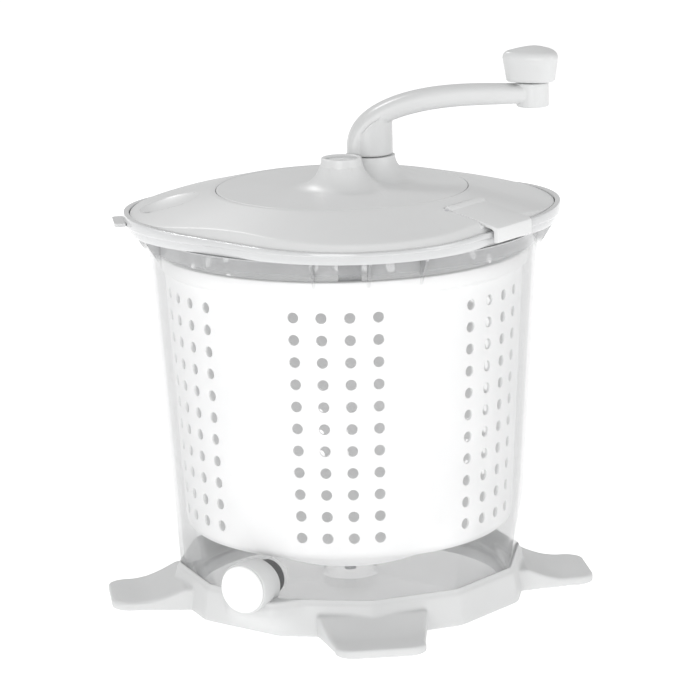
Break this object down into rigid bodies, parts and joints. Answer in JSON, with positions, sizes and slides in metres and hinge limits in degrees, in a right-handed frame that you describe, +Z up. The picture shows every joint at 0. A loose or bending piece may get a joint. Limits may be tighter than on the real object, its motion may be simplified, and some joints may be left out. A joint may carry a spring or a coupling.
{
  "type": "salad spinner",
  "caption": "Crank-driven salad spinner: clear bucket on four feet, perforated spinning basket, geared lid with offset crank arm and knob, a latch and a pull-out drain stopper.",
  "frame": {"origin": "where the spin axis meets the floor, under the middle of the bucket", "axes": "+Z up along the spin axis, -Y towards the front foot, +X to the right; the feet lie on X and Y"},
  "size_m": [0.332, 0.332, 0.368],
  "materials": {
    "clear_plastic": "clear moulded plastic, smooth",
    "base_plastic": "pale grey moulded plastic, satin",
    "pad_rubber": "soft grey rubber",
    "steel": "turned stainless steel",
    "drain_plastic": "pale grey moulded plastic",
    "gasket_rubber": "dark rubber",
    "white_plastic": "white moulded plastic, light gloss",
    "acetal": "natural acetal",
    "lid_plastic": "light grey moulded plastic, satin gloss",
    "seal_rubber": "translucent white silicone",
    "spider_plastic": "mid grey glass-filled plastic",
    "crank_plastic": "near-white moulded plastic, satin gloss"
  },
  "bodies": {
    "base": {"bucket": "clear_plastic", "base_skirt": "base_plastic", "foot_pads": "pad_rubber", "pivot_pin": "steel", "drain_boss": "drain_plastic", "drain_gasket": "gasket_rubber", "drain_nut": "white_plastic"},
    "stopper": {"drain_stopper": "white_plastic", "stopper_o_ring": "gasket_rubber"},
    "bush": {"pivot_bush": "acetal"},
    "basket": {"basket": "white_plastic", "basket_cup": "acetal"},
    "lid": {"lid_shell": "lid_plastic", "lid_seal": "seal_rubber", "gear_cover": "lid_plastic", "gear_plate": "base_plastic", "cover_screws": "steel", "plate_screws": "steel", "hub_cap": "lid_plastic", "crank_bush_upper": "acetal", "crank_bush_lower": "acetal", "spindle_bush_upper": "acetal", "spindle_bush_lower": "acetal", "latch_pin": "steel"},
    "latch": {"latch": "lid_plastic"},
    "spindle": {"spindle": "steel", "pinion": "acetal", "drive_spider": "spider_plastic", "spindle_clip": "steel", "spider_screw": "steel"},
    "crank": {"crank_shaft": "steel", "drive_gear": "acetal", "shaft_clip": "steel", "crank_arm": "crank_plastic", "crank_cross_pin": "steel", "knob_pin": "steel"},
    "knob": {"knob": "crank_plastic"}
  },
  "joints": [
    {"name": "lid_lift", "type": "slide", "parent": "base", "child": "lid", "axis": [0, 0, 1], "range_m": [0, 0.42]},
    {"name": "basket_lift", "type": "slide", "parent": "base", "child": "bush", "axis": [0, 0, 1], "range_m": [0, 0.252]},
    {"name": "basket_spin", "type": "hinge", "parent": "bush", "child": "basket", "pos_m": [0, 0, 0.03], "axis": [0, 0, 1], "continuous": true},
    {"name": "spindle_spin", "type": "hinge", "parent": "lid", "child": "spindle", "pos_m": [0, 0, 0.265], "axis": [0, 0, 1], "continuous": true},
    {"name": "crank_turn", "type": "hinge", "parent": "lid", "child": "crank", "pos_m": [0.02386, 0.03408, 0.29], "axis": [0, 0, 1], "continuous": true},
    {"name": "knob_spin", "type": "hinge", "parent": "crank", "child": "knob", "pos_m": [0.13443, 0.0205, 0.35], "axis": [0, 0, 1], "continuous": true},
    {"name": "latch_hinge", "type": "hinge", "parent": "lid", "child": "latch", "pos_m": [0.07314, -0.0682, 0.2765], "axis": [-0.682, -0.7314, 0], "range_deg": [0, 100]},
    {"name": "stopper_pull", "type": "slide", "parent": "base", "child": "stopper", "axis": [-0.6157, -0.788, 0], "range_m": [0, 0.036]}
  ],
  "couplings": [
    {"joint": "basket_lift", "follows": "lid_lift", "ratio": 0.6},
    {"joint": "spindle_spin", "follows": "basket_spin", "ratio": 1},
    {"joint": "crank_turn", "follows": "basket_spin", "ratio": -0.26829}
  ]
}
